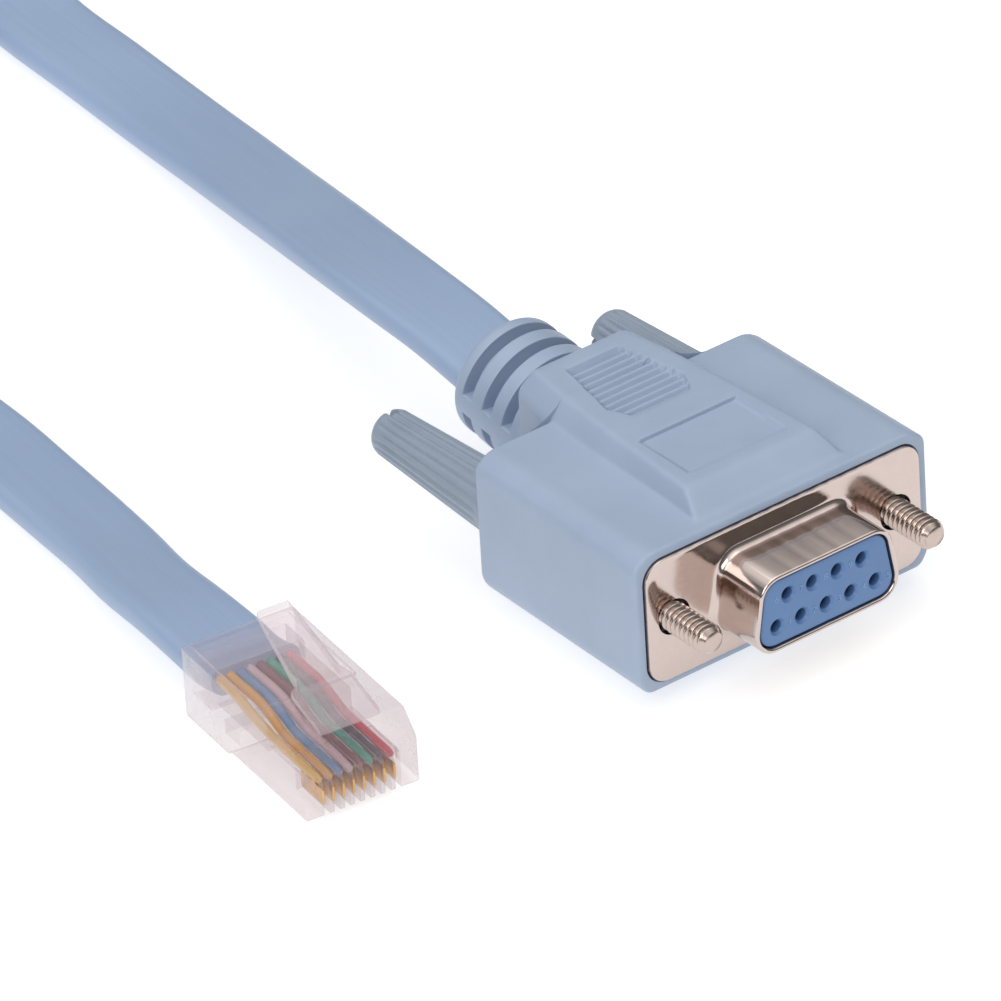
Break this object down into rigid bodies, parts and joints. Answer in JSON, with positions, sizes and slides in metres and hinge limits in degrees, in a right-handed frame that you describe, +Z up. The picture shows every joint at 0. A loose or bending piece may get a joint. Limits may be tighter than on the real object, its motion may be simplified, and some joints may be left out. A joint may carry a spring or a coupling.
{
  "type": "rj45 console cable",
  "caption": "Flat console cable with a D-shaped serial socket in a moulded hood with two thumbscrews, a coil of cable, and a clear modular plug with a sprung latch.",
  "frame": {"origin": "middle of the connector's box at its underside, on the surface that it lies on; the cord, its coil and its plug are left out of that box", "axes": "+Z up; -Y is the way the D connector's mating face looks; +Y is the way the cable leaves the hood; +X is to the right as seen from the front"},
  "size_m": [0.1025, 0.2274, 0.0209],
  "materials": {
    "hood": "fine satin moulded plastic, pale blue grey",
    "cable": "smooth satin jacket, light blue",
    "insulator": "smooth moulded blue",
    "nickel": "warm nickel plating, drawn and semi-bright",
    "gold": "thin gold plating",
    "clear": "clear polycarbonate",
    "tie": "matt black strap",
    "wire_yellow": "smooth",
    "wire_orange": "smooth",
    "wire_blue": "smooth",
    "wire_white": "smooth",
    "wire_brown": "smooth",
    "wire_green": "smooth",
    "wire_black": "smooth",
    "wire_red": "smooth"
  },
  "bodies": {
    "root": {"hood": "hood", "front_shell": "nickel", "insulator": "insulator", "socket_contact_1": "gold", "socket_contact_2": "gold", "socket_contact_3": "gold", "socket_contact_4": "gold", "socket_contact_5": "gold", "socket_contact_6": "gold", "socket_contact_7": "gold", "socket_contact_8": "gold", "socket_contact_9": "gold", "cable_from_hood": "cable", "cable_coil": "cable", "cable_to_plug": "cable", "coil_tie_1": "tie", "coil_tie_2": "tie", "plug_body": "clear", "plug_contact_1": "gold", "plug_contact_2": "gold", "plug_contact_3": "gold", "plug_contact_4": "gold", "plug_contact_5": "gold", "plug_contact_6": "gold", "plug_contact_7": "gold", "plug_contact_8": "gold", "wire_1": "wire_yellow", "wire_2": "wire_orange", "wire_3": "wire_blue", "wire_4": "wire_white", "wire_5": "wire_brown", "wire_6": "wire_green", "wire_7": "wire_black", "wire_8": "wire_red"},
    "thumbscrew_left": {"jackscrew_left": "nickel", "knob_left": "hood"},
    "thumbscrew_right": {"jackscrew_right": "nickel", "knob_right": "hood"},
    "latch": {"plug_latch": "clear"}
  },
  "joints": [
    {"name": "thumbscrew_left_turn", "type": "hinge", "parent": "root", "child": "thumbscrew_left", "pos_m": [-0.01249, 0, 0.009], "axis": [0, -1, 0], "continuous": true},
    {"name": "thumbscrew_right_turn", "type": "hinge", "parent": "root", "child": "thumbscrew_right", "pos_m": [0.01249, 0, 0.009], "axis": [0, -1, 0], "continuous": true},
    {"name": "latch_press", "type": "hinge", "parent": "root", "child": "latch", "pos_m": [-0.04281, -0.01076, 0.0076], "axis": [-0.9921, 0.1253, 0], "range_deg": [0, 12], "stiffness_Nm_per_rad": 0.3}
  ]
}
